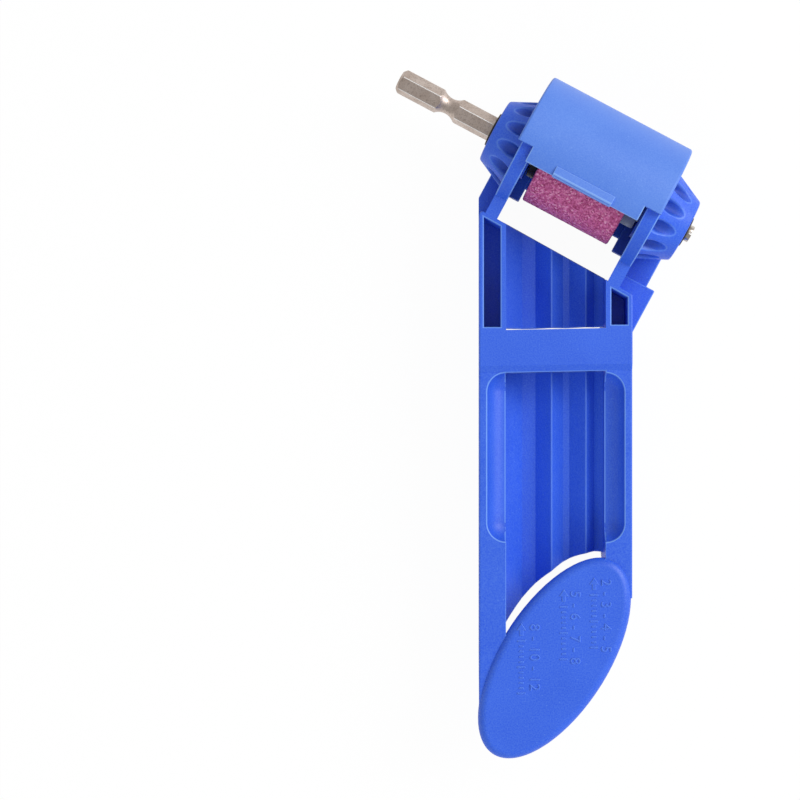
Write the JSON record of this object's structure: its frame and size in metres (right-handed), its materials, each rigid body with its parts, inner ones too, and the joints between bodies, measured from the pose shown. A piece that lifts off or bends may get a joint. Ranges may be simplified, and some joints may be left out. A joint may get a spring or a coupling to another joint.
{
  "type": "drill bit sharpener",
  "caption": "Hand-held drill bit sharpener: a trough handle with bit grooves and a guarded abrasive wheel on a hex-shank spindle set across its head, driven by a power drill.",
  "frame": {"origin": "bottom centre of the tool's box as it lies on its back", "axes": "+X across the handle to the right, +Y up the handle to the head, +Z out of the front, where the bit is laid in"},
  "size_m": [0.0856, 0.1928, 0.0379],
  "materials": {
    "blue_plastic": "satin moulded nylon",
    "corundum": "open-grained pink corundum",
    "plated_steel": "bright plated",
    "grey_steel": "dull machined",
    "black_steel": "black oxide",
    "bearing_steel": "ground",
    "brass_cage": "pressed"
  },
  "bodies": {
    "handle": {"handle_body": "blue_plastic", "wheel_guard": "blue_plastic", "left_bearing_cap": "blue_plastic", "right_bearing_cap": "blue_plastic", "left_bearing_outer_race": "bearing_steel", "left_bearing_shields": "bearing_steel", "right_bearing_outer_race": "bearing_steel", "right_bearing_shields": "bearing_steel"},
    "spindle": {"drive_spindle": "plated_steel", "grinding_wheel": "corundum", "wheel_collar": "black_steel", "wheel_nut": "grey_steel", "left_spacer": "grey_steel", "right_spacer": "grey_steel", "left_washer": "black_steel", "right_washer": "black_steel", "end_screw": "plated_steel", "left_bearing_inner_race": "bearing_steel", "right_bearing_inner_race": "bearing_steel"},
    "left_ball_set": {"left_bearing_balls": "bearing_steel", "left_bearing_cage": "brass_cage"},
    "right_ball_set": {"right_bearing_balls": "bearing_steel", "right_bearing_cage": "brass_cage"}
  },
  "joints": [
    {"name": "spindle_spin", "type": "hinge", "parent": "handle", "child": "spindle", "pos_m": [0.01126, 0.06547, 0.0165], "axis": [0.8809, -0.4733, 0], "continuous": true},
    {"name": "left_balls_spin", "type": "hinge", "parent": "handle", "child": "left_ball_set", "pos_m": [0.01126, 0.06547, 0.0165], "axis": [0.8809, -0.4733, 0], "continuous": true},
    {"name": "right_balls_spin", "type": "hinge", "parent": "handle", "child": "right_ball_set", "pos_m": [0.01126, 0.06547, 0.0165], "axis": [0.8809, -0.4733, 0], "continuous": true}
  ],
  "couplings": [
    {"joint": "left_balls_spin", "follows": "spindle_spin", "ratio": 0.3947},
    {"joint": "right_balls_spin", "follows": "spindle_spin", "ratio": 0.3947}
  ]
}
